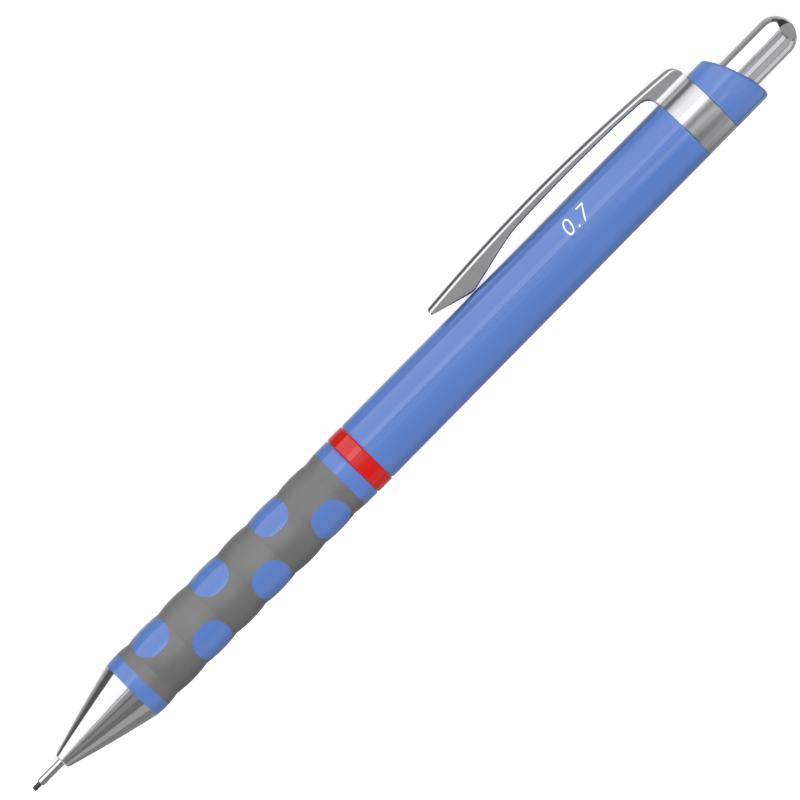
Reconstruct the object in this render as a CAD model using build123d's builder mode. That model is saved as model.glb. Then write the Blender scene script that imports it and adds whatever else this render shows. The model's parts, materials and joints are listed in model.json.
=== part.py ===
from build123d import *

import os
from math import acos, asin, atan2, cos, degrees, hypot, radians, sin, sqrt

# A push-button mechanical pencil for 0.7 mm lead, lying on its side as it rests on a desk.
# +X runs from the lead to the push button, +Z is up, and the origin is on the desk under the
# middle of the whole pencil. All sizes are in millimetres and degrees.
# A station is a distance along the pencil's axis, measured from the lead sleeve's front end.

# ---- Driving dimensions ----

# Fits
running = 0.05  # radial gap of what slides or turns
snug = 0.02  # radial gap of what is pushed on and stays
end_gap = 0.3  # gap left at the end of a stroke

# Leads
lead_radius = 0.345
lead_bore = 0.36  # what grips or guides the lead
lead_out = 1.2
lead_length = 45.0
spare_length = 60.0
spare_count = 3
spare_spread = 26.0  # angle between neighbouring spare leads

# Lead sleeve, nose and lead retainer
sleeve_out = 4.05
sleeve_radius = 0.55
sleeve_shank_radius = 0.8
sleeve_shank_length = 3.5
nose_length = 13.3
nose_front_radius = 1.19
nose_bulge = 0.09
nose_edge = 0.15
retainer_radius = 1.28
retainer_length = 2.8
thread_radius = 3.0
thread_length = 6.65
thread_land = 0.4  # chamfer on the thread's free end

# Grip
barrel_radius = 4.79
nose_step = 0.09  # how far the nose's rear edge lies below the grip's crests
grip_length = 41.66
front_collar = 2.1
rear_collar = 2.36
first_valley = 3.9
last_rise = 2.6  # from the last valley up to full size
bump_count = 6
bump_depth = 0.23
rubber_bed_radius = 3.85
grip_tail = 4.16  # from the last valley to the grip's rear end
window_gap = 0.1
window_width = 5.6
window_corner = 2.3
window_angle = 43.0
core_bore = 2.75
core_tail_radius = 3.7
core_tail_length = 8.0
seam_width = 0.2
seam_depth = 0.16

# Accent ring, upper barrel and end collar
accent_length = 2.7
accent_proud = 0.04
barrel_length = 60.0
barrel_bore = 3.3
neck_radius = 4.2
band_length = 5.17
plug_radius = 3.6
plug_length = 6.0
collar_short = 3.1
collar_long = 6.2
collar_bow = 0.5

# Clip
clip_width = 2.6
clip_thickness = 1.28
clip_peak = 8.44
clip_peak_back = 19.9  # from the peak to the clip band
clip_bow_radius = 265.0
clip_reach = 41.05  # from the clip band to the free end
clip_end_height = 1.0
clip_end_round = 0.35
heel_back = 6.2  # from the free end to the heel
heel_radius = 2.0
heel_gap = 0.06
shoulder_back = 15.0
shoulder_radius = 20.0
root_round = 1.9
root_corner = 1.7
hinge_ahead = 2.7  # from the clip band forward to where the arm bends
crown_drop = 0.5
crown_width = 0.7

# Push mechanism
stroke = 3.0  # how far the push button travels
clutch_stroke = 0.75  # how much of that the clutch ring follows, which is the lead fed
chuck_head_radius = 1.5
chuck_face_radius = 1.1
chuck_land = 1.2  # from the chuck's front face to where its taper starts
chuck_taper = 1.8
chuck_neck_radius = 1.05
chuck_stem_radius = 0.9
chuck_bore = 0.5
chuck_jaw_length = 3.5
slot_width = 0.25
slot_length = 12.0
clutch_radius = 1.95
clutch_length = 2.3
clutch_lip = 0.2  # how far the clutch ring reaches behind the chuck's taper
case_radius = 2.2
case_length = 16.3
case_wall = 1.0
case_bore = 1.72
case_flange_radius = 2.9
case_flange = 1.2
spring_space = 10.8
wire_radius = 0.14
spring_radius = 1.38
spring_turns = 8
connector_flange = 1.0
connector_plug = 4.0
connector_socket = 5.0
funnel_length = 2.7
tube_radius = 2.45
tube_wall = 0.4
tube_reach = 3.57  # how far the lead tube reaches behind the clip band

# Push button and eraser
cap_radius = 2.85
cap_out = 14.93  # from the clip band's rear face to the button's top
cap_overlap = 6.7  # how far the button covers the lead tube
cap_room = 6.8  # from the lead tube's end to the button's inner end
eraser_length = 12.5
eraser_out = 5.3

# ---- Stations and sizes that follow ----

nose_at = sleeve_out
grip_at = nose_at + nose_length
ring_at = grip_at + grip_length
barrel_at = ring_at + accent_length
band_at = barrel_at + barrel_length
collar_at = band_at + band_length
cap_end = collar_at + cap_out

half_clip = clip_width / 2
nose_rear_radius = barrel_radius - nose_step
accent_radius = barrel_radius + accent_proud

# The pencil lies on its thickest ring and on one long edge of the clip, which sets its roll.
clip_side = clip_peak - crown_drop
roll = degrees(asin(accent_radius / hypot(clip_side, half_clip)) - atan2(half_clip, clip_side))
to_clip = (0, cos(radians(roll)), -sin(radians(roll)))
across = (0, sin(radians(roll)), cos(radians(roll)))


def reach_y(height, width):
    """How far sideways a clip corner at this height and width lies from the pencil's axis."""
    return height * to_clip[1] + width * across[1]


widest = max(reach_y(clip_side, half_clip), reach_y(clip_peak, half_clip - crown_width))
axis_start = Vector((lead_out - cap_end) / 2, (accent_radius - widest) / 2, accent_radius)

# The side plane: its x runs along the pencil and its y runs from the axis towards the clip.
side = Plane(origin=axis_start, x_dir=(1, 0, 0), z_dir=across)
pencil_axis = Axis(axis_start, (1, 0, 0))


# ---- Shared shapes ----


def turned(*points, mode=Mode.ADD):
    """Turns a closed outline of (station, radius) points about the pencil's axis."""
    with BuildSketch(side) as outline:
        with BuildLine():
            Polyline(*points, close=True)
        make_face()
    revolve(outline.sketch, axis=pencil_axis, mode=mode)


def rod(start, end, radius, mode=Mode.ADD):
    """A round bar between two stations, or a bore when its mode is subtract."""
    turned((start, 0), (end, 0), (end, radius), (start, radius), mode=mode)


def bore(start, end, radius):
    """A round hole between two stations."""
    rod(start, end, radius, mode=Mode.SUBTRACT)


def around(station, angle):
    """A plane on the axis that faces outwards, its angle counted from the clip's side."""
    outward = [to_clip[i] * cos(radians(angle)) + across[i] * sin(radians(angle)) for i in range(3)]
    place = side.from_local_coords((station, 0, 0))
    return Plane(origin=place, x_dir=(1, 0, 0), z_dir=tuple(outward))


def finish(piece, name):
    """Labels a finished piece and writes it."""
    piece.part.label = name
    export_step(piece.part, f"parts/{name}.step")


os.makedirs("parts", exist_ok=True)

# ---- Lead sleeve: the thin steel tube that guides the lead ----

sleeve_chamfer = 0.08
shank_end = nose_at + sleeve_shank_length

with BuildPart() as lead_sleeve:
    turned(
        (0, lead_bore + running),
        (0, sleeve_radius - sleeve_chamfer),
        (sleeve_chamfer, sleeve_radius),
        (nose_at, sleeve_radius),
        (nose_at, sleeve_shank_radius),
        (shank_end, sleeve_shank_radius),
        (shank_end, lead_bore + running),
    )
finish(lead_sleeve, "lead_sleeve")

# ---- Lead retainer: the rubber bush that holds the lead while the jaws are open ----

retainer_end = shank_end + retainer_length
retainer_mouth = 0.5

with BuildPart() as lead_retainer:
    turned(
        (shank_end, lead_bore),
        (retainer_end - retainer_mouth, lead_bore),
        (retainer_end, lead_bore + retainer_mouth),
        (retainer_end, retainer_radius),
        (shank_end, retainer_radius),
    )
finish(lead_retainer, "lead_retainer")

# ---- Nose cone: screws into the front of the grip and closes the mechanism in ----

chuck_at = retainer_end + stroke + end_gap
clutch_at = chuck_at + chuck_land + chuck_taper + clutch_lip - clutch_length
case_at = clutch_at + clutch_length
thread_end = grip_at + thread_length
case_shoulder = clutch_at - clutch_stroke - running
jaw_room = chuck_head_radius + 0.25

with BuildPart() as nose_cone:
    with BuildSketch(side) as nose_outline:
        with BuildLine():
            nose_middle = (nose_front_radius + nose_rear_radius) / 2 + nose_bulge
            nose_line = ThreePointArc(
                (nose_at + nose_edge, nose_front_radius),
                (nose_at + nose_length / 2, nose_middle),
                (grip_at, nose_rear_radius),
            )
            Polyline(
                nose_line @ 1,
                (grip_at, thread_radius),
                (thread_end - thread_land, thread_radius),
                (thread_end, thread_radius - thread_land / 2),
                (thread_end, 0),
                (nose_at, 0),
                (nose_at, nose_front_radius - nose_edge),
                nose_line @ 0,
            )
        make_face()
    revolve(axis=pencil_axis)
    bore(nose_at, shank_end, sleeve_shank_radius)
    bore(shank_end, retainer_end, retainer_radius + snug)
    bore(retainer_end, case_shoulder, jaw_room)
    bore(case_shoulder, case_at - end_gap, clutch_radius + running)
    bore(case_at - end_gap, thread_end, case_radius + running)
finish(nose_cone, "nose_cone")

# ---- Grip: a hard core with raised windows, and the rubber moulded over it ----

first_valley_at = grip_at + first_valley
last_valley_at = ring_at - grip_tail
bump_pitch = (last_valley_at - first_valley_at) / bump_count
valley_radius = barrel_radius - bump_depth
rubber_start = grip_at + front_collar
rubber_end = ring_at - rear_collar
window_length = bump_pitch - window_gap

with BuildSketch(side) as grip_outline:
    with BuildLine():
        crest = ThreePointArc(
            (grip_at, nose_rear_radius),
            (grip_at + first_valley / 2, barrel_radius),
            (first_valley_at, valley_radius),
        )
        grip_front = crest @ 0
        for i in range(bump_count):
            valley_at = first_valley_at + i * bump_pitch
            crest = ThreePointArc(
                crest @ 1,
                (valley_at + bump_pitch / 2, barrel_radius),
                (valley_at + bump_pitch, valley_radius),
            )
        TangentArc(
            (last_valley_at + last_rise, barrel_radius),
            crest @ 1,
            tangent=(-1, 0),
        )
        Polyline(
            (last_valley_at + last_rise, barrel_radius),
            (ring_at - seam_width, barrel_radius),
            (ring_at, barrel_radius - seam_depth),
            (ring_at, 0),
            (grip_at, 0),
            grip_front,
        )
    make_face()

with BuildPart() as grip_envelope:
    revolve(grip_outline.sketch, axis=pencil_axis)

with BuildPart() as rubber_space:
    rod(rubber_start, rubber_end, barrel_radius + 1)
    bore(rubber_start, rubber_end, rubber_bed_radius)
    for i in range(bump_count):
        window_at = first_valley_at + (i + 0.5) * bump_pitch
        for turn in (0, 180):
            window_plane = around(window_at, window_angle + 90 * (i % 2) + turn)
            with BuildSketch(window_plane.offset(rubber_bed_radius / 2)):
                RectangleRounded(window_length, window_width, window_corner)
            extrude(amount=barrel_radius, mode=Mode.SUBTRACT)

with BuildPart() as grip_rubber:
    add(grip_envelope.part)
    add(rubber_space.part, mode=Mode.INTERSECT)
finish(grip_rubber, "grip_rubber")

case_end = case_at + case_length
flange_end = thread_end + case_flange

with BuildPart() as grip_core:
    add(grip_envelope.part)
    add(rubber_space.part, mode=Mode.SUBTRACT)
    rod(ring_at, ring_at + core_tail_length, core_tail_radius)
    bore(grip_at, flange_end, thread_radius + running)
    bore(flange_end, ring_at + core_tail_length, core_bore)
finish(grip_core, "grip_core")

# ---- Accent ring: the coloured ring between the grip and the upper barrel ----

with BuildPart() as accent_ring:
    turned(
        (ring_at, core_tail_radius + snug),
        (ring_at, accent_radius - seam_depth - accent_proud),
        (ring_at + seam_width, accent_radius),
        (barrel_at - seam_width, accent_radius),
        (barrel_at, accent_radius - seam_depth - accent_proud),
        (barrel_at, core_tail_radius + snug),
    )
finish(accent_ring, "accent_ring")

# ---- Upper barrel: the plain tube, with a neck at its rear for the clip band ----

socket_end = ring_at + core_tail_length + end_gap
plug_front = collar_at - plug_length

with BuildPart() as upper_barrel:
    turned(
        (barrel_at, 0),
        (barrel_at, barrel_radius - seam_depth),
        (barrel_at + seam_width, barrel_radius),
        (band_at, barrel_radius),
        (band_at, neck_radius),
        (collar_at, neck_radius),
        (collar_at, 0),
    )
    bore(barrel_at, socket_end, core_tail_radius + snug)
    bore(socket_end, plug_front - end_gap, barrel_bore)
    bore(plug_front - end_gap, collar_at, plug_radius + snug)
finish(upper_barrel, "upper_barrel")

# ---- Clip: a spring arm that stands on a band round the neck ----

clip_peak_at = band_at - clip_peak_back
free_at = band_at - clip_reach
hinge_at = band_at - hinge_ahead
heel_at = free_at + heel_back
shoulder_at = free_at + shoulder_back
bow_centre = clip_peak - clip_bow_radius


def clip_line(station, depth=0):
    """Height of the clip's bowed outer line at a station, or of a line below it."""
    bow = clip_bow_radius - depth
    return (station, bow_centre + sqrt(bow**2 - (station - clip_peak_at) ** 2))


def bowed(start, end, depth=0):
    """The arc of the clip's outer line, or of a line below it, between two stations."""
    middle = (start + end) / 2
    return ThreePointArc(clip_line(start, depth), clip_line(middle, depth), clip_line(end, depth))


def touch(point, centre, radius, way):
    """Where a line from the point touches a circle, on the side that way, 1 or -1, gives."""
    towards = atan2(point[1] - centre[1], point[0] - centre[0])
    turn = towards + way * acos(radius / hypot(point[0] - centre[0], point[1] - centre[1]))
    return (centre[0] + radius * cos(turn), centre[1] + radius * sin(turn))


def crown():
    """Trims the clip to a section with sloped outer edges, carried round the bow's centre."""
    middle = side.from_local_coords((clip_peak_at, 0, 0))
    with BuildSketch(Plane(origin=middle, x_dir=across, z_dir=(-1, 0, 0))) as section:
        with BuildLine():
            Polyline(
                (-half_clip, 0),
                (half_clip, 0),
                (half_clip, clip_side),
                (half_clip - crown_width, clip_peak),
                (crown_width - half_clip, clip_peak),
                (-half_clip, clip_side),
                close=True,
            )
        make_face()
    bow_axis = Axis(side.from_local_coords((clip_peak_at, bow_centre, 0)), across)
    revolve(section.sketch, axis=bow_axis, mode=Mode.INTERSECT)


heel_bottom = (heel_at, barrel_radius + heel_gap)
heel_centre = (heel_at, heel_bottom[1] + heel_radius)
free_top = clip_line(free_at)
free_bottom = (free_at, free_top[1] - clip_end_height)
shoulder = clip_line(shoulder_at, clip_thickness)
heel_front = touch(free_bottom, heel_centre, heel_radius, 1)
heel_rear = touch(shoulder, heel_centre, heel_radius, -1)

with BuildPart() as clip_arm:
    with BuildSketch(side) as arm_outline:
        with BuildLine():
            Polyline(free_top, free_bottom, heel_front)
            ThreePointArc(heel_front, heel_bottom, heel_rear)
            Line(heel_rear, shoulder)
            bowed(shoulder_at, hinge_at, clip_thickness)
            Line(clip_line(hinge_at, clip_thickness), clip_line(hinge_at))
            bowed(hinge_at, free_at)
        make_face()
        corners = arm_outline.vertices()
        fillet(corners.sort_by_distance(free_top)[0], clip_end_round)
        fillet(corners.sort_by_distance(free_bottom)[0], clip_end_round)
        fillet(corners.sort_by_distance(shoulder)[0], shoulder_radius)
    extrude(amount=half_clip, both=True)
    crown()
finish(clip_arm, "clip_arm")

band_bore = neck_radius + snug
block_floor = (band_bore + barrel_radius) / 2

with BuildPart() as clip_band:
    with BuildSketch(side) as root_outline:
        with BuildLine():
            bowed(collar_at, hinge_at)
            Line(clip_line(hinge_at), clip_line(hinge_at, clip_thickness))
            bowed(hinge_at, band_at, clip_thickness)
            Polyline(
                clip_line(band_at, clip_thickness),
                (band_at, block_floor),
                (collar_at, block_floor),
                clip_line(collar_at),
            )
        make_face()
        corners = root_outline.vertices()
        fillet(corners.sort_by_distance(clip_line(collar_at))[0], root_corner)
        fillet(corners.sort_by_distance(clip_line(band_at, clip_thickness))[0], root_round)
    extrude(amount=half_clip, both=True)
    crown()
    rod(band_at, collar_at, barrel_radius)
    bore(band_at, collar_at, band_bore)
finish(clip_band, "clip_band")

# ---- End collar: plugs into the barrel behind the clip band and guides the button ----

guide_radius = cap_radius + running
collar_middle = (collar_short + collar_long) / 2 + collar_bow

with BuildPart() as end_collar:
    rod(plug_front, collar_at, plug_radius)
    turned(
        (collar_at, 0),
        (collar_at, barrel_radius - seam_depth),
        (collar_at + seam_depth, barrel_radius),
        (collar_at + collar_long, barrel_radius),
        (collar_at + collar_long, 0),
    )
    with BuildSketch(side):
        with BuildLine():
            slant = ThreePointArc(
                (collar_at + collar_short, barrel_radius),
                (collar_at + collar_middle, 0),
                (collar_at + collar_long, -barrel_radius),
            )
            Polyline(
                slant @ 1,
                (collar_at + collar_long + 1, -barrel_radius),
                (collar_at + collar_long + 1, barrel_radius + 1),
                (collar_at + collar_short, barrel_radius + 1),
                slant @ 0,
            )
        make_face()
    extrude(amount=barrel_radius + 1, both=True, mode=Mode.SUBTRACT)
    bore(plug_front, collar_at + collar_long, guide_radius)
finish(end_collar, "end_collar")

# ---- Clutch case: the fixed tube that holds the return spring ----

with BuildPart() as clutch_case:
    rod(case_at, case_end, case_radius)
    rod(thread_end, flange_end, case_flange_radius)
    bore(case_at, case_end, chuck_neck_radius + running)
    bore(case_at + case_wall, case_end, case_bore)
finish(clutch_case, "clutch_case")

# ---- Chuck: the brass collet whose three jaws grip the lead ----

spring_front = case_at + case_wall
connector_at = spring_front + spring_space
chuck_end = connector_at + connector_socket - end_gap
land_end = chuck_at + chuck_land
taper_end = land_end + chuck_taper
head_chamfer = chuck_head_radius - chuck_face_radius

with BuildPart() as chuck:
    turned(
        (chuck_at, 0),
        (chuck_at, chuck_face_radius),
        (chuck_at + head_chamfer, chuck_head_radius),
        (land_end, chuck_head_radius),
        (taper_end, chuck_neck_radius),
        (taper_end + clutch_lip, chuck_neck_radius),
        (taper_end + clutch_lip, chuck_stem_radius),
        (chuck_end, chuck_stem_radius),
        (chuck_end, 0),
    )
    bore(chuck_at, chuck_at + chuck_jaw_length, lead_bore)
    bore(chuck_at + chuck_jaw_length, chuck_end, chuck_bore)
    for slot_angle in (0, 120, 240):
        with BuildSketch(around(chuck_at + slot_length / 2, slot_angle)):
            Rectangle(slot_length, slot_width)
        extrude(amount=chuck_head_radius + 1, mode=Mode.SUBTRACT)
finish(chuck, "chuck")

# ---- Clutch ring: closes the jaws while the spring pulls the chuck back into it ----

with BuildPart() as clutch_ring:
    turned(
        (clutch_at, chuck_head_radius + running),
        (land_end, chuck_head_radius + running),
        (taper_end, chuck_neck_radius + running),
        (case_at, chuck_neck_radius + running),
        (case_at, clutch_radius),
        (clutch_at, clutch_radius),
    )
finish(clutch_ring, "clutch_ring")

# ---- Return spring: pushes the button and the chuck back after each click ----

spring_height = spring_space - 2 * wire_radius - 2 * snug
spring_plane = Plane(
    origin=side.from_local_coords((spring_front + wire_radius + snug, 0, 0)),
    x_dir=to_clip,
    z_dir=(1, 0, 0),
)
coil = Helix(spring_height / spring_turns, spring_height, spring_radius)
coil = spring_plane.location * coil

with BuildPart() as return_spring:
    with BuildSketch(Plane(origin=coil @ 0, z_dir=coil % 0)):
        Circle(wire_radius)
    sweep(path=coil, is_frenet=True)
finish(return_spring, "return_spring")

# ---- Chuck connector: joins the chuck to the lead tube and funnels leads into it ----

flange_at = case_end + stroke + end_gap
tube_at = flange_at + connector_flange
connector_end = tube_at + connector_plug
tube_bore = tube_radius - tube_wall
funnel_at = connector_end - funnel_length

with BuildPart() as chuck_connector:
    rod(connector_at, flange_at, case_bore - running)
    rod(flange_at, tube_at, tube_radius)
    rod(tube_at, connector_end, tube_bore - snug)
    bore(connector_at, connector_at + connector_socket, chuck_stem_radius + snug)
    bore(connector_at, connector_end, chuck_bore)
    turned(
        (funnel_at, 0),
        (funnel_at, chuck_bore),
        (connector_end, tube_bore - 2 * tube_wall / 3),
        (connector_end, 0),
        mode=Mode.SUBTRACT,
    )
finish(chuck_connector, "chuck_connector")

# ---- Lead tube: the magazine for the spare leads ----

tube_end = collar_at + tube_reach

with BuildPart() as lead_tube:
    rod(tube_at, tube_end, tube_radius)
    bore(tube_at, tube_end, tube_bore)
finish(lead_tube, "lead_tube")

# ---- Leads: the one in use, and the spare ones lying on the tube's wall ----

with BuildPart() as writing_lead:
    rod(-lead_out, lead_length - lead_out, lead_radius)
finish(writing_lead, "writing_lead")

spare_at = connector_end + running
spare_orbit = tube_bore - lead_radius - snug
lowest = 90 - roll  # the angle from the clip's side, turning away from across, that points down

with BuildPart() as spare_leads:
    for i in range(spare_count):
        lie = -lowest + spare_spread * (i - (spare_count - 1) / 2)
        beside = spare_orbit * cos(radians(lie))
        above = spare_orbit * sin(radians(lie))
        start = side.from_local_coords((spare_at, beside, above))
        with BuildSketch(Plane(origin=start, x_dir=to_clip, z_dir=(1, 0, 0))):
            Circle(lead_radius)
        extrude(amount=spare_length)
finish(spare_leads, "spare_leads")

# ---- Eraser: a plug in the lead tube's end, under the button ----

eraser_end = tube_end + eraser_out

with BuildPart() as eraser:
    rod(eraser_end - eraser_length, eraser_end, tube_bore - snug)
finish(eraser, "eraser")

# ---- Push button: a cap with a round end over the eraser and the lead tube ----

cap_at = tube_end - cap_overlap
dome_at = cap_end - cap_radius

with BuildPart() as push_cap:
    with BuildSketch(side) as cap_outline:
        with BuildLine():
            Polyline((cap_end, 0), (cap_at, 0), (cap_at, cap_radius), (dome_at, cap_radius))
            RadiusArc((dome_at, cap_radius), (cap_end, 0), cap_radius)
        make_face()
    revolve(axis=pencil_axis)
    bore(cap_at, tube_end + cap_room, tube_radius + snug)
finish(push_cap, "push_cap")
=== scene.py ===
"""A chromed, blue and red push-button mechanical pencil with a ribbed rubber grip, lying on its side
on a pale floor, +X from the lead to the button. Everything is in metres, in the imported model's frame.
Angles round the pencil's axis are 0 over the clip and 90 on the side that faces the camera."""
import json
import math

import bmesh
import bpy
from mathutils import Matrix, Vector


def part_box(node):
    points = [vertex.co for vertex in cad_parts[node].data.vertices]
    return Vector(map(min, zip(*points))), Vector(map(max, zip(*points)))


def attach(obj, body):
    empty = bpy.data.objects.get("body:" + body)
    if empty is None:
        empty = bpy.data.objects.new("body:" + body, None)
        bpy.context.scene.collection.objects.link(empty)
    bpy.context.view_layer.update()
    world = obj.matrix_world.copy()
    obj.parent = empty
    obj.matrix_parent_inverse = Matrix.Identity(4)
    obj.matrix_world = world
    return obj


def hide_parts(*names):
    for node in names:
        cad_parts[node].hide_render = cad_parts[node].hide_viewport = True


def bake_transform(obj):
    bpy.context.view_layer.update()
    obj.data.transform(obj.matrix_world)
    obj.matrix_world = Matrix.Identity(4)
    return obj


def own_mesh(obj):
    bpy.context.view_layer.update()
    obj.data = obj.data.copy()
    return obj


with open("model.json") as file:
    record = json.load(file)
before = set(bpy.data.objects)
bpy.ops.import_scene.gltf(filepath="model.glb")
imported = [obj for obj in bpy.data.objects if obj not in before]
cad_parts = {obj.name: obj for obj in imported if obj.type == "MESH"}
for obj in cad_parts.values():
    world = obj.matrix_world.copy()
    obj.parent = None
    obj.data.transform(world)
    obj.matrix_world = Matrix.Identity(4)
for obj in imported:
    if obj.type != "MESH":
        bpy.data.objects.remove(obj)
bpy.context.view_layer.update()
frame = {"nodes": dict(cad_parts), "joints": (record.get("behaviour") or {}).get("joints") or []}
MM = 0.001


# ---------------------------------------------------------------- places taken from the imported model

def middle(node):
    """The centre of a CAD node's box."""
    low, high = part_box(node)
    return (low + high) / 2


def place_of(joint):
    """A point on a joint's axis."""
    return Vector([one for one in frame["joints"] if one["name"] == joint][0]["pos_m"])


AXIS_POINT = middle("lead_tube")
LEAD_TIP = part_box("writing_lead")[0].x
HINGE = place_of("clip_lift")
BARREL_RADIUS = (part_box("upper_barrel")[1].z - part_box("upper_barrel")[0].z) / 2

to_clip = Vector((0, HINGE.y - AXIS_POINT.y, HINGE.z - AXIS_POINT.z)).normalized()
along = Vector((1, 0, 0))
to_camera = along.cross(to_clip)


def outwards(angle):
    """The direction away from the pencil's axis at this angle."""
    turn = math.radians(angle)
    return to_clip * math.cos(turn) + to_camera * math.sin(turn)


def on_axis(distance):
    """The point on the pencil's axis this far behind the lead's tip."""
    return Vector((LEAD_TIP + distance, AXIS_POINT.y, AXIS_POINT.z))


def off_axis(x, angle, away):
    """The point at this X that lies this far from the pencil's axis at this angle."""
    return Vector((x, AXIS_POINT.y, AXIS_POINT.z)) + outwards(angle) * away


# ---------------------------------------------------------------- small helpers

def srgb(code):
    """An sRGB hex colour as the linear colour that Blender works in."""
    parts = [int(code[start:start + 2], 16) / 255 for start in (1, 3, 5)]
    return [p / 12.92 if p <= 0.04045 else ((p + 0.055) / 1.055) ** 2.4 for p in parts] + [1]


def add(tree, kind, settings=None, links=None):
    """Adds a node, sets its sockets and options, and joins its inputs to other nodes' outputs."""
    made = tree.nodes.new(kind)
    for name, value in (settings or {}).items():
        if isinstance(name, int) or name in made.inputs:
            made.inputs[name].default_value = value
        else:
            setattr(made, name, value)
    for name, source in (links or {}).items():
        tree.links.new(source, made.inputs[name])
    return made


def new_material(name, colour, roughness, **sockets):
    """A material with these constant values on its shader, and its tree, shader and coordinates."""
    made = bpy.data.materials.new(name)
    made.use_nodes = True
    tree = made.node_tree
    shader = tree.nodes["Principled BSDF"]
    shader.inputs["Base Color"].default_value = srgb(colour)
    shader.inputs["Roughness"].default_value = roughness
    for socket, value in sockets.items():
        shader.inputs[socket.replace("_", " ")].default_value = value
    place = add(tree, "ShaderNodeTexCoord").outputs["Object"]
    return made, tree, shader, place


PATTERN_LOW, PATTERN_HIGH = 0.3, 0.7  # nearly all of a pattern's values lie between these


def pattern(tree, place, size, length=1, detail=2):
    """An even random pattern of spots this big, in metres, and length times as long in X."""
    scale = (1 / (size * length), 1 / size, 1 / size)
    scaled = add(tree, "ShaderNodeMapping", {"Scale": scale}, {"Vector": place})
    settings = {"Scale": 1.0, "Detail": detail, "Roughness": 0.55}
    spots = add(tree, "ShaderNodeTexNoise", settings, {"Vector": scaled.outputs["Vector"]})
    return spots.outputs["Fac"]


def vary_colour(tree, shader, spots, dark, light):
    """Drives the base colour between two close shades."""
    settings = {"From Min": PATTERN_LOW, "From Max": PATTERN_HIGH}
    share = add(tree, "ShaderNodeMapRange", settings, {"Value": spots})
    mixed = add(tree, "ShaderNodeMix", {"data_type": "RGBA", 6: srgb(dark), 7: srgb(light)},
                {0: share.outputs["Result"]})
    tree.links.new(mixed.outputs[2], shader.inputs["Base Color"])


def vary_roughness(tree, shader, spots, low, high):
    """Drives the roughness between two values."""
    settings = {"From Min": PATTERN_LOW, "From Max": PATTERN_HIGH, "To Min": low, "To Max": high}
    spread = add(tree, "ShaderNodeMapRange", settings, {"Value": spots})
    tree.links.new(spread.outputs["Result"], shader.inputs["Roughness"])


def emboss(tree, shader, *layers):
    """Raises the surface by layers of (pattern, depth in metres), one upon another."""
    links = {}
    for spots, depth in layers:
        links["Height"] = spots
        raised = add(tree, "ShaderNodeBump", {"Distance": depth, "Strength": 1.0}, links)
        links["Normal"] = raised.outputs["Normal"]
    tree.links.new(raised.outputs["Normal"], shader.inputs["Normal"])


# ---------------------------------------------------------------- materials

def moulded_abs(name, colour, dark, light):
    """Injection-moulded glossy ABS: an even colour, and a polished skin with a faint orange peel and
    hairlines, which are drawn coarse enough to show."""
    made, tree, shader, place = new_material(name, colour, 0.1, IOR=1.5)
    shader.inputs["Diffuse Roughness"].default_value = 0.2
    flow = pattern(tree, place, 6 * MM, 3)
    peel = pattern(tree, place, 0.9 * MM)
    hairlines = pattern(tree, place, 0.12 * MM, 40, 3)
    vary_colour(tree, shader, flow, dark, light)
    vary_roughness(tree, shader, hairlines, 0.08, 0.13)
    emboss(tree, shader, (peel, 0.003 * MM), (hairlines, 0.0004 * MM))
    return made


def grey_rubber():
    """Moulded thermoplastic rubber: matt, with the fine grain of a spark-eroded mould, which is
    drawn coarse enough to show."""
    made, tree, shader, place = new_material(
        "thermoplastic rubber, moulded", "#666666", 0.42, IOR=1.52)
    shade = pattern(tree, place, 5 * MM)
    grain = pattern(tree, place, 0.16 * MM, detail=4)
    vary_colour(tree, shader, shade, "#626262", "#6A6A6A")
    vary_roughness(tree, shader, grain, 0.36, 0.48)
    emboss(tree, shader, (grain, 0.006 * MM))
    return made


def bright_chrome():
    """Chromium plated on ABS: a grey-white mirror, a little wavy from the plastic below, with wiping
    marks, which are drawn coarse enough to show."""
    made, tree, shader, place = new_material(
        "chromium, plated and polished", "#C6C7C8", 0.08, Metallic=1.0)
    waves = pattern(tree, place, 4 * MM, 2)
    wiping = pattern(tree, place, 0.1 * MM, 25, 3)
    vary_roughness(tree, shader, wiping, 0.06, 0.12)
    emboss(tree, shader, (waves, 0.004 * MM), (wiping, 0.0003 * MM))
    return made


def satin_chrome():
    """Chromium plated on a brushed brass stamping: a softer mirror than the nose, with short brushing
    marks, which are drawn coarse enough to show."""
    made, tree, shader, place = new_material("chromium, plated satin", "#B4B5B6", 0.22, Metallic=1.0)
    brushing = pattern(tree, place, 0.08 * MM, 18, 3)
    waves = pattern(tree, place, 5 * MM, 2)
    vary_roughness(tree, shader, brushing, 0.18, 0.26)
    emboss(tree, shader, (waves, 0.001 * MM), (brushing, 0.0004 * MM))
    return made


def drawn_steel():
    """Stainless steel tube and wire, drawn: bright, with fine lines along its length."""
    made, tree, shader, place = new_material("stainless steel, drawn", "#BDBFC2", 0.18, Metallic=1.0)
    lines = pattern(tree, place, 0.06 * MM, 60, 3)
    vary_roughness(tree, shader, lines, 0.14, 0.24)
    emboss(tree, shader, (lines, 0.0006 * MM))
    return made


def turned_brass():
    """Free-cutting brass, turned: warm yellow, with rings left by the tool round its axis."""
    made, tree, shader, place = new_material("brass, turned", "#C9A860", 0.25, Metallic=1.0)
    rings = pattern(tree, place, 8 * MM, 0.012, 2)
    tarnish = pattern(tree, place, 2.5 * MM, detail=4)
    vary_colour(tree, shader, tarnish, "#B99550", "#D3B36B")
    vary_roughness(tree, shader, rings, 0.2, 0.34)
    emboss(tree, shader, (rings, 0.002 * MM))
    return made


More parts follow.
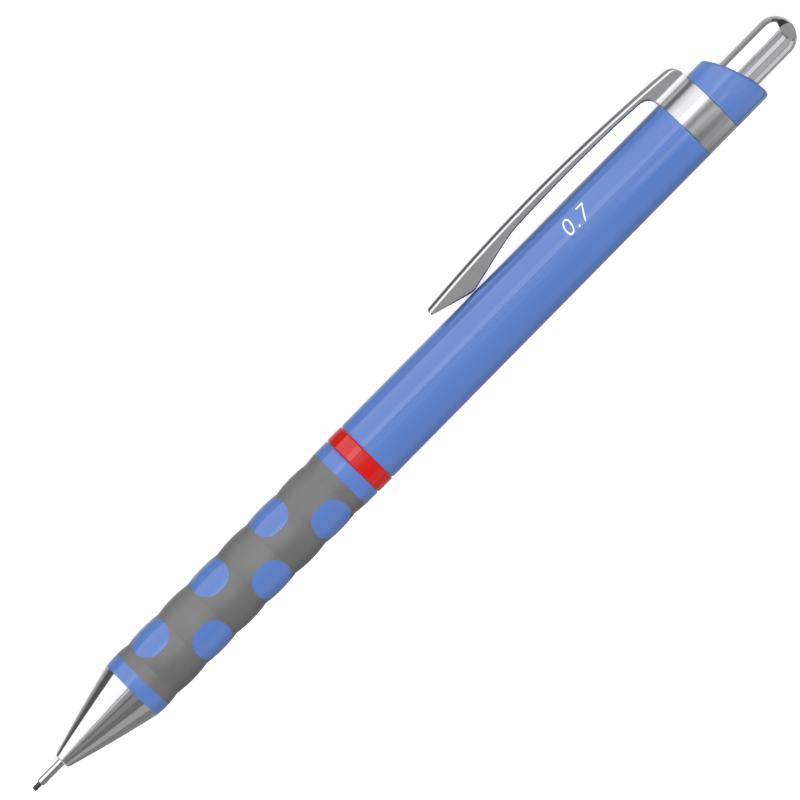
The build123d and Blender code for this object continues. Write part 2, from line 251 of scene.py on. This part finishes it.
def black_acetal():
    """Moulded acetal: black, slightly waxy, half matt."""
    made, tree, shader, place = new_material("acetal, moulded", "#1B1B1D", 0.38, IOR=1.48)
    skin = pattern(tree, place, 0.5 * MM, detail=3)
    vary_colour(tree, shader, skin, "#171719", "#202023")
    vary_roughness(tree, shader, skin, 0.32, 0.45)
    emboss(tree, shader, (skin, 0.003 * MM))
    return made


def milky_polypropylene():
    """Extruded natural polypropylene: milky, lets some light through, with faint die lines."""
    made, tree, shader, place = new_material("polypropylene, extruded", "#DDDCD4", 0.35, IOR=1.49)
    shader.inputs["Subsurface Weight"].default_value = 0.4
    shader.inputs["Subsurface Radius"].default_value = (0.002, 0.002, 0.002)
    die_lines = pattern(tree, place, 0.15 * MM, 80, 2)
    vary_colour(tree, shader, die_lines, "#D6D5CC", "#E4E3DC")
    vary_roughness(tree, shader, die_lines, 0.3, 0.42)
    emboss(tree, shader, (die_lines, 0.001 * MM))
    return made


def white_vinyl():
    """Moulded vinyl eraser: soft white, dull, with a slightly crumbly skin."""
    made, tree, shader, place = new_material("vinyl eraser, moulded", "#E9E8E4", 0.75, IOR=1.5)
    crumb = pattern(tree, place, 0.25 * MM, detail=5)
    smudge = pattern(tree, place, 3 * MM, detail=3)
    vary_colour(tree, shader, smudge, "#DEDDD9", "#F0EFEC")
    emboss(tree, shader, (crumb, 0.015 * MM))
    return made


def black_bush_rubber():
    """Moulded nitrile rubber of the lead's retaining bush: black and matt."""
    made, tree, shader, place = new_material("nitrile rubber, moulded", "#232323", 0.6, IOR=1.52)
    grain = pattern(tree, place, 0.15 * MM, detail=4)
    vary_colour(tree, shader, grain, "#1E1E1E", "#292929")
    emboss(tree, shader, (grain, 0.006 * MM))
    return made


def fired_graphite():
    """Polymer-bound graphite lead, extruded and fired: dark grey with a metallic sheen along fine
    lines."""
    made, tree, shader, place = new_material(
        "graphite lead, extruded", "#3A3A3D", 0.38, Metallic=0.55)
    lines = pattern(tree, place, 0.05 * MM, 30, 3)
    grains = pattern(tree, place, 0.09 * MM, detail=4)
    vary_colour(tree, shader, grains, "#2C2C2F", "#4A4A4E")
    vary_roughness(tree, shader, lines, 0.3, 0.5)
    emboss(tree, shader, (lines, 0.001 * MM), (grains, 0.002 * MM))
    return made


def white_ink():
    """Pad-printed white ink: flat and opaque, a little uneven where the pad lifted."""
    made, tree, shader, place = new_material("ink, pad-printed", "#F2F5FA", 0.45, IOR=1.5)
    film = pattern(tree, place, 0.3 * MM, detail=3)
    vary_colour(tree, shader, film, "#E6EBF4", "#FAFBFD")
    emboss(tree, shader, (film, 0.002 * MM))
    return made


def finish_nodes(material, *names):
    """Puts a material on CAD nodes that stay as they are."""
    for name in names:
        for part in frame["nodes"][name].material_slots:
            part.material = material


# ---------------------------------------------------------------- modelling helpers

def select_only(*pieces):
    """Nothing but these is selected, and the last is active."""
    bpy.ops.object.select_all(action="DESELECT")
    for piece in pieces:
        piece.select_set(True)
    bpy.context.view_layer.objects.active = pieces[-1]


def apply_modifier(piece, kind, **settings):
    """Adds a modifier with these settings and applies it."""
    select_only(piece)
    made = piece.modifiers.new(kind.lower(), kind)
    for name, value in settings.items():
        setattr(made, name, value)
    bpy.ops.object.modifier_apply(modifier=made.name)


def settle(piece, name, material):
    """Names a finished piece, gives it its material, and puts its place into its mesh."""
    select_only(piece)
    bpy.ops.object.transform_apply(location=True, rotation=True, scale=True)
    piece.name = piece.data.name = name
    piece.data.materials.clear()
    piece.data.materials.append(material)
    return piece


PENCIL = Matrix((along, to_clip, to_camera)).transposed().to_4x4()
PENCIL.translation = Vector((0, AXIS_POINT.y, AXIS_POINT.z))


def drawn_loops(*loops):
    """A mesh of closed edge loops, each drawn as a curve through its points, given in millimetres."""
    curve = bpy.data.curves.new("loops", "CURVE")
    curve.dimensions = "3D"
    for loop in loops:
        spline = curve.splines.new("POLY")
        spline.points.add(len(loop) - 1)
        spline.use_cyclic_u = True
        for point, (x, y, z) in zip(spline.points, loop):
            point.co = (x * MM, y * MM, z * MM, 1)
    drawn = bpy.data.objects.new("loops", curve)
    bpy.context.scene.collection.objects.link(drawn)
    select_only(drawn)
    bpy.ops.object.convert(target="MESH")
    return bpy.context.object


def select_where(wanted, mode="VERT"):
    """In edit mode, selects the vertices or faces whose corners are all wanted, in millimetres."""
    bpy.ops.mesh.select_mode(type="VERT")
    bpy.ops.mesh.select_all(action="DESELECT")
    bpy.ops.mesh.select_mode(type=mode)
    mesh = bmesh.from_edit_mesh(bpy.context.object.data)
    for part in mesh.verts if mode == "VERT" else mesh.faces:
        corners = [part] if mode == "VERT" else part.verts
        part.select = all(wanted(*(corner.co / MM)) for corner in corners)
    mesh.select_flush_mode()
    bmesh.update_edit_mesh(bpy.context.object.data)


def near(value, target):
    """Whether two lengths are the same to a thousandth of a millimetre."""
    return abs(value - target) < 0.001


def bridge_in_turn(loops, closed=False):
    """In edit mode, joins each drawn loop to the next, and the last to the first if closed."""
    mesh = bmesh.from_edit_mesh(bpy.context.object.data)
    size = len(mesh.verts) // loops
    bpy.ops.mesh.select_mode(type="VERT")
    for first in range(loops if closed else loops - 1):
        pair = (first, (first + 1) % loops)
        bpy.ops.mesh.select_all(action="DESELECT")
        mesh = bmesh.from_edit_mesh(bpy.context.object.data)
        for corner in mesh.verts:
            corner.select = corner.index // size in pair
        mesh.select_flush_mode()
        bmesh.update_edit_mesh(bpy.context.object.data)
        bpy.ops.mesh.bridge_edge_loops()


def close_shell(piece, smooth_angle=32):
    """Merges doubled points, turns the faces outwards and smooths all but the sharp edges."""
    select_only(piece)
    bpy.ops.object.mode_set(mode="EDIT")
    bpy.ops.mesh.select_all(action="SELECT")
    bpy.ops.mesh.remove_doubles(threshold=0.002 * MM)
    bpy.ops.mesh.normals_make_consistent(inside=False)
    bpy.ops.object.mode_set(mode="OBJECT")
    bpy.ops.object.shade_smooth_by_angle(angle=math.radians(smooth_angle))


# ---------------------------------------------------------------- clip and its ring, one piece

# All in millimetres. The clip is drawn with X along the pencil, Y its height over the pencil's axis
# and Z across it, and so are the collar and the spring.
RING_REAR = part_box("clip_band")[1].x / MM
RING_FRONT = RING_REAR - 5.17
RING_RADIUS = BARREL_RADIUS / MM
RING_BORE = 4.22
RING_EASE = 0.12
EASE_MIDDLE = 0.29  # how far in the middle of an eased edge lies, as a share of its size
UNDERCUT = 0.04  # how hollow an end face is, so that the loops that it joins aren't in one plane
CLIP_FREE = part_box("clip_arm")[0].x / MM
CLIP_PEAK = 8.44
BOW_RADIUS = 265.0
BOW_MIDDLE = RING_FRONT - 19.9
ARM_THICKNESS = 1.25  # at the root
ARM_TAPER = 0.019  # how much thicker the arm gets in each millimetre towards its heel
TAPER_FROM = RING_FRONT - 6
HALF_WIDTH = 1.3
EDGE_RADIUS = 0.42
EDGE_TURN = 40  # degrees, where the crown runs into the edge
UNDER_ROUND = 0.28
END_HEIGHT, END_ROUND = 1.0, 0.35
HEEL_X, HEEL_RADIUS, HEEL_GAP = CLIP_FREE + 6.2, 2.0, 0.06
SHOULDER_X, SHOULDER_RADIUS, SHOULDER_LENGTH = CLIP_FREE + 15.0, 20, 3
ROOT_ROUND = 1.9
ROOT_ARC = 0.925  # how far below its corner the root's round starts, in radii
REAR_ROUND, REAR_ROUND_LOST = 1.7, 0.8  # at the middle, and how much less it is for each drop
OUTER_LINE = (RING_REAR - 2.2, CLIP_FREE + 0.6)  # between the rounds at the clip's two ends
STUMP_TOP = 5.5  # where the clip's root meets the stump that stands on the ring
STUMP_FILLET = 1.2


def bow(x, depth=0.0):
    """The point, as (X, height), on the clip's bowed outer line, or on a line this deep below it."""
    radius = BOW_RADIUS - depth
    return (x, CLIP_PEAK - BOW_RADIUS + math.sqrt(radius ** 2 - (x - BOW_MIDDLE) ** 2))


def clip_crown():
    """Half of the clip's section as (across, drop): a crown that runs into a rounded edge. Drop is
    how far a point lies below the outer line."""
    turn = math.radians(EDGE_TURN)
    crown_radius = (HALF_WIDTH - EDGE_RADIUS * (1 - math.sin(turn))) / math.sin(turn)
    edge = Vector((HALF_WIDTH - EDGE_RADIUS,
                   crown_radius * (1 - math.cos(turn)) + EDGE_RADIUS * math.cos(turn)))
    points = []
    for turn in range(10, 91, 10):
        sine, cosine = math.sin(math.radians(turn)), math.cos(math.radians(turn))
        if turn <= EDGE_TURN:
            points.append((crown_radius * sine, crown_radius * (1 - cosine)))
        else:
            points.append((edge.x + EDGE_RADIUS * sine, edge.y - EDGE_RADIUS * cosine))
    return points


CROWN = clip_crown()
END_FOOT = (CLIP_FREE, bow(CLIP_FREE)[1] - END_HEIGHT)  # the underside's corner at the free end


def rounded(before, corner, after, radius, steps=7):
    """The points of an arc that rounds a corner between two straight lines."""
    corner = Vector(corner)
    to_before = (Vector(before) - corner).normalized()
    to_after = (Vector(after) - corner).normalized()
    half = to_before.angle(to_after) / 2
    centre = corner + (to_before + to_after).normalized() * radius / math.sin(half)
    first = corner + to_before * radius / math.tan(half) - centre
    last = corner + to_after * radius / math.tan(half) - centre
    return [tuple(centre + first.slerp(last, step / steps).normalized() * radius)
            for step in range(steps + 1)]


def touch(point, centre, radius, way):
    """Where a line from a point touches a circle: way is 1 or -1, for its one side or the other."""
    offset = Vector(point) - Vector(centre)
    turn = math.atan2(offset.y, offset.x) + way * math.acos(radius / offset.length)
    return (centre[0] + radius * math.cos(turn), centre[1] + radius * math.sin(turn))


def arm_depth(x):
    """How thick the arm is here: it grows from its root towards its heel."""
    return ARM_THICKNESS + ARM_TAPER * max(0.0, TAPER_FROM - x)


def eased(points, amount):
    """The underside's points moved into the clip by this much, fading to nothing at its free end and
    at the foot of its root."""
    foot_fade, end_kept, end_fade = 0.6, 0.3, 1.2
    moved = []
    for before, point, after in zip(points[:1] + points[:-1], points, points[1:] + points[-1:]):
        way = Vector(after) - Vector(before)
        foot = (point[1] - STUMP_TOP) / foot_fade if point[0] > BOW_MIDDLE else 1.0
        share = max(0.0, min(1.0, foot, (point[0] - CLIP_FREE - end_kept) / end_fade))
        moved.append(tuple(Vector(point) + Vector((-way.y, way.x)).normalized() * amount * share))
    return moved


def root_overhang(height):
    """How far the rounded front of the clip's root stands ahead of the ring at this height."""
    rise = height - bow(RING_FRONT, ARM_THICKNESS)[1] + ROOT_ARC * ROOT_ROUND
    return ROOT_ROUND - math.sqrt(ROOT_ROUND ** 2 - rise ** 2) if rise > 0 else 0.0


def clip_underside():
    """The clip's underside at its middle, from the front of its heel to the foot of its root."""
    heel = (HEEL_X, RING_RADIUS + HEEL_GAP + HEEL_RADIUS)
    shoulder, arm_start = bow(SHOULDER_X, arm_depth(SHOULDER_X)), SHOULDER_X + SHOULDER_LENGTH
    heel_front = touch(END_FOOT, heel, HEEL_RADIUS, 1)
    heel_rear = touch(shoulder, heel, HEEL_RADIUS, -1)
    start, end = (math.atan2(y - heel[1], x - heel[0]) for x, y in (heel_front, heel_rear))
    root = rounded(bow(RING_FRONT - 2, ARM_THICKNESS), bow(RING_FRONT, ARM_THICKNESS),
                   (RING_FRONT, 0), ROOT_ROUND, 12)

    heel_steps, arm_points = 8, 21
    under = []
    for step in range(heel_steps + 1):
        turn = start + (end - start) * step / heel_steps
        under.append((heel[0] + HEEL_RADIUS * math.cos(turn), heel[1] + HEEL_RADIUS * math.sin(turn)))
    under += rounded(heel_rear, shoulder, bow(arm_start, arm_depth(arm_start)), SHOULDER_RADIUS, 10)
    under += [bow(arm_start + step, arm_depth(arm_start + step)) for step in range(arm_points)]
    under += [point for point in root if point[1] > STUMP_TOP + 0.05]
    return under + [(RING_FRONT - root_overhang(STUMP_TOP), STUMP_TOP)]


def clip_outline(across, drop):
    """The clip's outline seen from its side, as (X, height), this far across, with its outer line
    lowered by drop."""
    inset = max(0.0, across - HALF_WIDTH + UNDER_ROUND)
    ease = UNDER_ROUND - math.sqrt(UNDER_ROUND ** 2 - inset ** 2)
    under = clip_underside()
    top = bow(CLIP_FREE, drop)
    end_round = min(END_ROUND, 0.46 * (END_HEIGHT - drop))  # just under half of the end's height
    rear_round = REAR_ROUND - REAR_ROUND_LOST * drop

    points = rounded(bow(CLIP_FREE + 1, drop), top, END_FOOT, end_round)
    points += rounded(top, END_FOOT, under[0], end_round)
    points += eased(under, ease) + [(RING_REAR, STUMP_TOP)]
    points += rounded((RING_REAR, 0), bow(RING_REAR, drop), bow(RING_REAR - 2, drop), rear_round, 10)
    (start, end), steps = OUTER_LINE, 40
    points += [bow(start - (start - end) * step / steps, drop) for step in range(steps + 1)]
    return points


def ring_outline():
    """The section of the ring with the stump of the clip's root on it, as (height, across)."""
    beside = HALF_WIDTH + STUMP_FILLET
    centre = Vector((math.sqrt((RING_RADIUS + STUMP_FILLET) ** 2 - beside ** 2), beside))
    meets = math.atan2(centre.y, centre.x)
    fillet_steps, ring_steps = 8, 56
    side = [Vector((STUMP_TOP, across)) for across, drop in CROWN]
    for step in range(fillet_steps + 1):
        turn = -math.pi / 2 - (math.pi / 2 - meets) * step / fillet_steps
        side.append(centre + Vector((math.cos(turn), math.sin(turn))) * STUMP_FILLET)
    for step in range(1, ring_steps + 1):
        turn = meets + (math.pi - meets) * step / ring_steps
        side.append(Vector((math.cos(turn), math.sin(turn))) * RING_RADIUS)
    return side + [Vector((point.x, -point.y)) for point in reversed(side[:-1])]


def open_at_stump():
    """In edit mode, removes the faces where the clip's root and the ring's stump meet."""
    select_where(lambda x, y, z: near(y, STUMP_TOP), "FACE")
    bpy.ops.mesh.delete(type="ONLY_FACE")


def clip_arm_shell():
    """The clip's arm and root: outlines across its width, joined and capped."""
    sections = [(-across, drop) for across, drop in reversed(CROWN)] + CROWN
    arm = drawn_loops(*[[(x, y, across) for x, y in clip_outline(abs(across), drop)]
                        for across, drop in sections])
    bpy.ops.object.mode_set(mode="EDIT")
    bridge_in_turn(len(sections))
    for side in (-HALF_WIDTH, HALF_WIDTH):
        select_where(lambda x, y, z: near(z, side))
        bpy.ops.mesh.edge_face_add()
        bpy.ops.mesh.mark_sharp()
    open_at_stump()
    bpy.ops.object.mode_set(mode="OBJECT")
    return arm


def clip_ring_shell():
    """The ring round the barrel's neck, with eased edges, open where the clip's root stands on it."""
    outer = ring_outline()
    inner = [point.normalized() * RING_BORE for point in outer]
    ease_top, ease_fade = STUMP_TOP - 0.1, 0.4
    eases = [RING_EASE * max(0.0, min(1.0, (ease_top - point.x) / ease_fade)) for point in outer]
    lowered = [point - point.normalized() * ease for point, ease in zip(outer, eases)]
    fronts = [RING_FRONT - root_overhang(point.x) for point in outer]
    rears = [RING_REAR] * len(outer)

    def eased_loop(ends, along_share, down_share):
        """A loop that lies these shares of the easing along from these X's and below the outline."""
        return [(x + along_share * ease, p.x + down_share * (q.x - p.x),
                 p.y + down_share * (q.y - p.y)) for x, ease, p, q in zip(ends, eases, outer, lowered)]

    loops = [eased_loop(fronts, 0, 1), eased_loop(fronts, EASE_MIDDLE, EASE_MIDDLE),
             eased_loop(fronts, 1, 0), eased_loop(rears, -1, 0),
             eased_loop(rears, -EASE_MIDDLE, EASE_MIDDLE), eased_loop(rears, 0, 1),
             [(RING_REAR - UNDERCUT, *point) for point in inner],
             [(RING_FRONT + UNDERCUT, *point) for point in inner]]
    ring = drawn_loops(*loops)
    bpy.ops.object.mode_set(mode="EDIT")
    bridge_in_turn(len(loops), closed=True)
    open_at_stump()
    bpy.ops.object.mode_set(mode="OBJECT")
    return ring


def spring_clip(material):
    """The chromed clip, one piece with its ring."""
    ring, arm = clip_ring_shell(), clip_arm_shell()
    select_only(ring, arm)
    bpy.ops.object.join()
    clip = bpy.context.object
    close_shell(clip)
    apply_modifier(clip, "WEIGHTED_NORMAL", keep_sharp=True)
    clip.matrix_world = PENCIL
    settle(clip, "spring_clip", material)
    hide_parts("clip_arm", "clip_band")
    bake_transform(clip)


# ---------------------------------------------------------------- end collar

COLLAR_PLUG = 3.6
COLLAR_BORE = 2.9
COLLAR_SEAM = 0.16  # size of the chamfer against the clip's ring
COLLAR_EASE = 0.15  # size of the plug's chamfer and of the bore's rounded mouth
RIM_SHORT, RIM_MORE = 0.3, 0.45  # the rim's round at the short side, and how much more at the long
SLANT_CENTRE = (RING_REAR - 20.446, -8.121)
SLANT_RADIUS = 26.854
COLLAR_SIDES = 144


def slant(height):
    """X of the collar's slanted, slightly domed end at this height over the axis."""
    return SLANT_CENTRE[0] + math.sqrt(SLANT_RADIUS ** 2 - (height - SLANT_CENTRE[1]) ** 2)


def rim_point(turn, lean, radius, size, way):
    """A point of the slanted end's rounded rim, as (X, radius), at this turn round the axis. Lean
    goes from 90 on the wall to 0 on the end, and way is -1 at an outer wall and 1 at a bore."""
    sine, cosine = math.sin(math.radians(lean)), math.cos(math.radians(lean))
    reach = radius + way * size * (1 - sine)
    return slant(reach * math.cos(turn)) - size * (1 - cosine), reach


def slanted_collar(material):
    """The collar behind the clip's ring, with its plug, and a rim rounded most at its long side."""
    plug_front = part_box("end_collar")[0].x / MM
    turns = [math.radians(count * 360 / COLLAR_SIDES) for count in range(COLLAR_SIDES)]
    rims = [RIM_SHORT + RIM_MORE * (1 - math.cos(turn)) / 2 for turn in turns]
    loops = [[(x, radius)] * COLLAR_SIDES for x, radius in (
        (plug_front, COLLAR_PLUG - COLLAR_EASE), (plug_front + COLLAR_EASE, COLLAR_PLUG),
        (RING_REAR + UNDERCUT, COLLAR_PLUG), (RING_REAR, RING_RADIUS - COLLAR_SEAM),
        (RING_REAR + EASE_MIDDLE * COLLAR_SEAM, RING_RADIUS - EASE_MIDDLE * COLLAR_SEAM),
        (RING_REAR + COLLAR_SEAM, RING_RADIUS))]
    for lean in (90, 75, 60, 45, 30, 15, 0):
        loops.append([rim_point(turn, lean, RING_RADIUS, rim, -1) for turn, rim in zip(turns, rims)])
    for lean in (0, 30, 60, 90):
        loops.append([rim_point(turn, lean, COLLAR_BORE, COLLAR_EASE, 1) for turn in turns])
    loops.append([(plug_front + UNDERCUT, COLLAR_BORE)] * COLLAR_SIDES)
    collar = drawn_loops(*[[(x, radius * math.cos(turn), radius * math.sin(turn))
                            for (x, radius), turn in zip(loop, turns)] for loop in loops])
    bpy.ops.object.mode_set(mode="EDIT")
    bridge_in_turn(len(loops), closed=True)
    bpy.ops.object.mode_set(mode="OBJECT")
    close_shell(collar)
    apply_modifier(collar, "WEIGHTED_NORMAL", keep_sharp=True)
    collar.matrix_world = PENCIL
    settle(collar, "slanted_collar", material)
    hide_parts("end_collar")
    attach(collar, "barrel")


# ---------------------------------------------------------------- return spring

def coil_spring(material):
    """The steel return spring round the chuck, with a close turn at each end."""
    low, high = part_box("return_spring")
    wire, close_pitch, turns, steps = 0.14, 0.3, 10, 20
    coil = (high.z - low.z) / 2 / MM - wire
    length = (high.x - low.x) / MM - 2 * wire
    curve = bpy.data.curves.new("coil", "CURVE")
    curve.dimensions = "3D"
    curve.bevel_depth, curve.bevel_resolution, curve.use_fill_caps = wire * MM, 2, True
    spline = curve.splines.new("POLY")
    spline.points.add(turns * steps)
    for count, point in enumerate(spline.points):
        turn = count / steps
        share = min(max(turn - 1, 0) / (turns - 2), 1)
        closed = close_pitch * min(turn, 1) + close_pitch * max(turn - turns + 1, 0)
        x = low.x / MM + wire + closed + (length - 2 * close_pitch) * share
        angle = 2 * math.pi * turn
        point.co = (x * MM, coil * MM * math.cos(angle), coil * MM * math.sin(angle), 1)
    spring = bpy.data.objects.new("coil", curve)
    bpy.context.scene.collection.objects.link(spring)
    select_only(spring)
    bpy.ops.object.convert(target="MESH")
    spring = bpy.context.object
    close_shell(spring, 60)
    spring.matrix_world = PENCIL
    settle(spring, "coil_spring", material)
    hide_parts("return_spring")
    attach(spring, "barrel")
    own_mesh(spring)


# ---------------------------------------------------------------- printed lead size

def printed_size(material):
    """The lead size in slim slanted digits beside the clip: a thin film that follows the barrel."""
    height, length, angle = 2.4 * MM, 4.4 * MM, 66.0
    middle_of_print = on_axis(104.3 * MM)
    film_top, film_thickness = BARREL_RADIUS + 0.012 * MM, 0.03 * MM

    bpy.ops.object.text_add(location=(0, 0, 0))
    digits = bpy.context.object
    text = digits.data
    text.body = "0.7"
    text.align_x, text.align_y = "CENTER", "CENTER"
    text.shear, text.space_character, text.offset = 0.22, 1.12, -0.012
    text.extrude, text.resolution_u = 1.2, 10
    select_only(digits)
    bpy.ops.object.convert(target="MESH")
    digits = bpy.context.object
    bpy.ops.object.mode_set(mode="EDIT")
    bpy.ops.mesh.select_all(action="SELECT")
    bpy.ops.mesh.remove_doubles(threshold=0.0001)
    bpy.ops.mesh.normals_make_consistent(inside=False)
    bpy.ops.object.mode_set(mode="OBJECT")
    wide, high = digits.dimensions.x, digits.dimensions.y
    centre = Vector([sum(corner[i] for corner in digits.bound_box) / 8 for i in range(3)])
    digits.data.transform(Matrix.Translation(-centre))
    digits.data.transform(Matrix.Diagonal((length / wide, height / high, MM, 1)))
    turned = Matrix((along, outwards(angle - 90), outwards(angle))).transposed().to_4x4()
    on_barrel = middle_of_print + outwards(angle) * BARREL_RADIUS
    digits.matrix_world = Matrix.Translation(on_barrel) @ turned
    bpy.context.view_layer.update()

    bpy.ops.mesh.primitive_cylinder_add(vertices=360, radius=film_top, depth=2 * length,
                                        end_fill_type="NOTHING", location=middle_of_print,
                                        rotation=(0, math.radians(90), 0))
    film = bpy.context.object
    apply_modifier(film, "SOLIDIFY", thickness=film_thickness, offset=-1)
    apply_modifier(film, "BOOLEAN", operation="INTERSECT", object=digits, solver="EXACT")
    bpy.data.objects.remove(digits)
    settle(film, "printed_lead_size", material)
    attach(film, "barrel")


# ---------------------------------------------------------------- stage, light and camera

def glowing(name, brightness):
    """A material that only shines, evenly."""
    made = bpy.data.materials.new(name)
    made.use_nodes = True
    tree = made.node_tree
    tree.nodes.clear()
    glow = add(tree, "ShaderNodeEmission", {"Strength": brightness})
    add(tree, "ShaderNodeOutputMaterial", links={"Surface": glow.outputs[0]})
    return made


def studio_card(name, centre, axes, size, brightness):
    """A glowing card that shows only in reflections, with its sides along the first two axes."""
    bpy.ops.mesh.primitive_plane_add(size=1)
    card = bpy.context.object
    card.name = name
    turned = Matrix(axes).transposed().to_4x4()
    card.matrix_world = Matrix.Translation(centre) @ turned @ Matrix.Diagonal((*size, 1, 1))
    card.data.materials.append(glowing(name, brightness))
    card.visible_camera = card.visible_diffuse = False
    card.visible_shadow = card.visible_transmission = False


def long_card(name, low, high, brightness, start, end, away):
    """A card along the pencil that fills these angles round its axis, between two X's and this far
    away in millimetres."""
    angle = (low + high) / 2
    width = 2 * away * math.tan(math.radians((high - low) / 2))
    studio_card(name, off_axis((start + end) / 2 * MM, angle, away * MM),
                (along, outwards(angle + 90), outwards(angle)), ((end - start) * MM, width * MM),
                brightness)


def end_card(name, x, angle, away, size, brightness):
    """A square card across the pencil's axis beyond one of its ends, in millimetres."""
    studio_card(name, off_axis(x * MM, angle, away * MM),
                (outwards(angle), outwards(angle + 90), along), (size * MM, size * MM), brightness)


def soft_lamp(name, angle, power):
    """A broad lamp for the matt shading, which doesn't show in reflections."""
    data = bpy.data.lights.new(name, "AREA")
    data.shape, data.size, data.energy = "SQUARE", 0.4, power
    lamp = bpy.data.objects.new(name, data)
    bpy.context.scene.collection.objects.link(lamp)
    lamp.location = off_axis(0, angle, 0.8)
    lamp.rotation_mode = "QUATERNION"
    lamp.rotation_quaternion = (on_axis(70 * MM) - lamp.location).to_track_quat("-Z", "Y")
    lamp.visible_glossy = lamp.visible_camera = False


def pale_floor():
    """A plain matt floor under the pencil, and a white backdrop that only the camera sees."""
    bpy.ops.mesh.primitive_circle_add(vertices=96, radius=3.4, fill_type="NGON", location=(0, 0, 0))
    floor = bpy.context.object
    floor.name = "floor"
    made, tree, shader, place = new_material("painted board, matt", "#F0F0F0", 0.9)
    vary_colour(tree, shader, pattern(tree, place, 60 * MM), "#EDEDED", "#F3F3F3")
    shader.inputs["Emission Color"].default_value = (1, 1, 1, 1)
    shader.inputs["Emission Strength"].default_value = 0.5
    floor.data.materials.append(made)
    floor.visible_glossy = floor.visible_diffuse = floor.visible_shadow = False
    bpy.ops.mesh.primitive_uv_sphere_add(radius=3.5, segments=48, ring_count=24, location=(0, 0, 0))
    backdrop = bpy.context.object
    backdrop.name = "backdrop"
    backdrop.data.materials.append(glowing("backdrop", 1.0))
    backdrop.visible_diffuse = backdrop.visible_glossy = False
    backdrop.visible_shadow = backdrop.visible_transmission = False


def studio():
    """A little light from all round, three soft lamps, and the cards that the chrome mirrors."""
    world = bpy.data.worlds.new("studio")
    bpy.context.scene.world = world
    world.use_nodes = True
    surroundings = world.node_tree.nodes["Background"]
    surroundings.inputs["Color"].default_value = (1, 1, 1, 1)
    surroundings.inputs["Strength"].default_value = 0.07
    soft_lamp("clip_side_lamp", -15, 4.7)
    soft_lamp("overhead_lamp", 94, 7.6)
    soft_lamp("far_side_lamp", 256, 5.0)

    # Each group is (from X, to X, distance) in millimetres, then (name, from angle, to angle,
    # brightness) for each card. The nearer groups hide the long ones from the ring and the button.
    groups = (
        ((-450, 450, 300), (
            ("glow_under_clip", -125, -56, 0.75),
            ("grey_card_under_clip", -56, -40, 0.5),
            ("dark_card_under_clip", -40, -32, 0.28),
            ("black_flag_clip_side", -32, -4, 0.14),
            ("softbox_clip_side", 0, 56, 1.85),
            ("softbox_beyond_strip", 56, 74, 1.7),
            ("softbox_edge", 76, 85, 0.9),
            ("grey_card_behind_camera", 85, 99, 0.45),
            ("dark_strip_over_camera", 99, 108, 0.24),
            ("grey_card_over_camera", 108, 128, 0.37),
            ("dark_card_far_side", 128, 156, 0.25),
            ("grey_card_far_side", 156, 190, 0.55),
            ("dark_card_low_far_side", 190, 244, 0.32),
            ("glow_low_far_side", 244, 290, 0.4))),
        ((-125, 125, 290), (
            ("softbox_strip", 56, 74, 3.0),)),
        ((72, 250, 290), (
            ("button_card_under_clip", -56, -20, 0.6),
            ("button_card_clip_side", -20, -4, 0.4),
            ("button_card_behind_camera", 90, 112, 0.58),
            ("button_card_over_camera", 113, 136, 1.2),
            ("button_card_far_side", 136, 172, 0.68),
            ("button_card_bright_far_side", 172, 220, 0.97),
            ("button_card_low_far_side", 220, 262, 0.6))),
        ((52, 72, 285), (
            ("ring_card_clip_side", 0, 14, 0.8),
            ("ring_card_beside_strip", 14, 26, 1.2),
            ("ring_card_softbox", 26, 78, 1.8),
            ("ring_card_over_camera", 99, 116, 1.6))))
    for reach, cards in groups:
        for card in cards:
            long_card(*card, *reach)
    end_card("card_beyond_button", 330, 165, 230, 560, 0.5)
    end_card("card_before_nose", -330, 90, 0, 500, 0.8)


def long_lens_camera():
    """The camera: a long lens square to the clip's side, turned so that the pencil lies on the
    diagonal."""
    turn, lens, away = math.radians(45.413), 373, 1.1
    aim = on_axis(70.9 * MM) + to_clip * 1.7 * MM
    right = along * math.cos(turn) - to_clip * math.sin(turn)
    up = along * math.sin(turn) + to_clip * math.cos(turn)
    data = bpy.data.cameras.new("camera")
    data.sensor_width, data.lens = 36, lens
    camera = bpy.data.objects.new("camera", data)
    bpy.context.scene.collection.objects.link(camera)
    turned = Matrix((right, up, to_camera)).transposed().to_4x4()
    camera.matrix_world = Matrix.Translation(aim + to_camera * away) @ turned
    bpy.context.scene.camera = camera
    bpy.context.scene.view_settings.view_transform = "Standard"


# ---------------------------------------------------------------- the pencil

long_lens_camera()
bpy.ops.object.select_all(action="DESELECT")

chrome = bright_chrome()
steel = drawn_steel()
brass = turned_brass()
black = black_acetal()
graphite = fired_graphite()
blue = moulded_abs("ABS, moulded blue", "#587ABF", "#5678BD", "#5A7CC1")
red = moulded_abs("ABS, moulded red", "#C90F08", "#C30D07", "#CE120A")

finish_nodes(blue, "upper_barrel", "grip_core")
finish_nodes(red, "accent_ring")
finish_nodes(grey_rubber(), "grip_rubber")
finish_nodes(chrome, "nose_cone", "push_cap")
finish_nodes(steel, "lead_sleeve")
finish_nodes(brass, "chuck", "clutch_ring")
finish_nodes(black, "clutch_case", "chuck_connector")
finish_nodes(black_bush_rubber(), "lead_retainer")
finish_nodes(milky_polypropylene(), "lead_tube")
finish_nodes(white_vinyl(), "eraser")
finish_nodes(graphite, "writing_lead", "spare_leads")
spring_clip(satin_chrome())
slanted_collar(blue)
coil_spring(steel)
printed_size(white_ink())

pale_floor()
studio()
